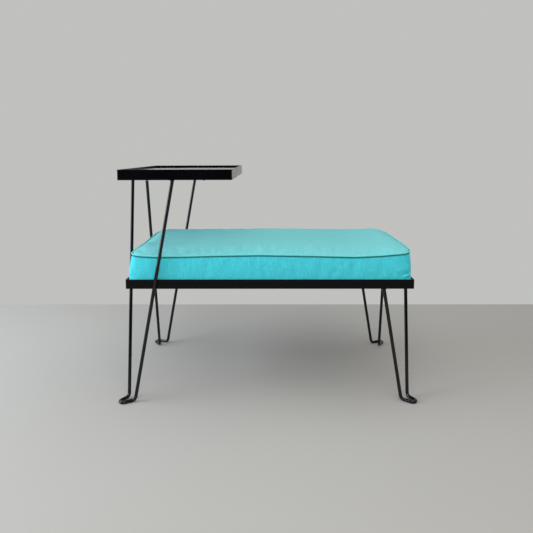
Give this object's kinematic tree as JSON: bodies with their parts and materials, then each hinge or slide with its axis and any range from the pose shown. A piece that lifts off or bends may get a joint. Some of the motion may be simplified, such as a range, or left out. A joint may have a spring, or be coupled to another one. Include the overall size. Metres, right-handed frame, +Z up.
{
  "type": "telephone bench",
  "caption": "Telephone bench: steel angle seat frame with a drop-in upholstered pad, bent rod hairpin legs, and a small raised side table at one end.",
  "frame": {"origin": "on the floor under the middle of the bench's outline, toes included", "axes": "+Z up, +X along the seat towards its open end, away from the table, -Y towards the front"},
  "size_m": [0.8342, 0.5038, 0.6455],
  "materials": {
    "black_paint": "satin black paint on bent rod and angle",
    "plywood": "raw plywood, painted dark below the table",
    "black_gloss_sheet": "polished black laminate",
    "zinc_steel": "dull zinc",
    "foam": "open-cell upholstery foam",
    "top_fabric": "sea-green plain weave",
    "boxing_fabric": "turquoise plain weave",
    "welt_fabric": "turquoise plain weave over a thin cord",
    "dust_cloth": "thin black cambric"
  },
  "bodies": {
    "frame": {"seat_rail_front": "black_paint", "seat_rail_right": "black_paint", "seat_rail_back": "black_paint", "seat_rail_left": "black_paint", "leg_front_left": "black_paint", "leg_back_left": "black_paint", "leg_front_right": "black_paint", "leg_back_right": "black_paint", "table_rim_front": "black_paint", "table_rim_right": "black_paint", "table_rim_back": "black_paint", "table_rim_left": "black_paint", "table_board": "plywood", "table_sheet": "black_gloss_sheet"},
    "seat_pad": {"seat_board": "plywood", "seat_foam": "foam", "cover_top_panel": "top_fabric", "cover_boxing": "boxing_fabric", "cover_welt": "welt_fabric", "seat_dust_cover": "dust_cloth", "seat_staples": "zinc_steel"}
  },
  "joints": [
    {"name": "seat_lift", "type": "slide", "parent": "frame", "child": "seat_pad", "axis": [0, 0, 1], "range_m": [0, 0.12]}
  ]
}
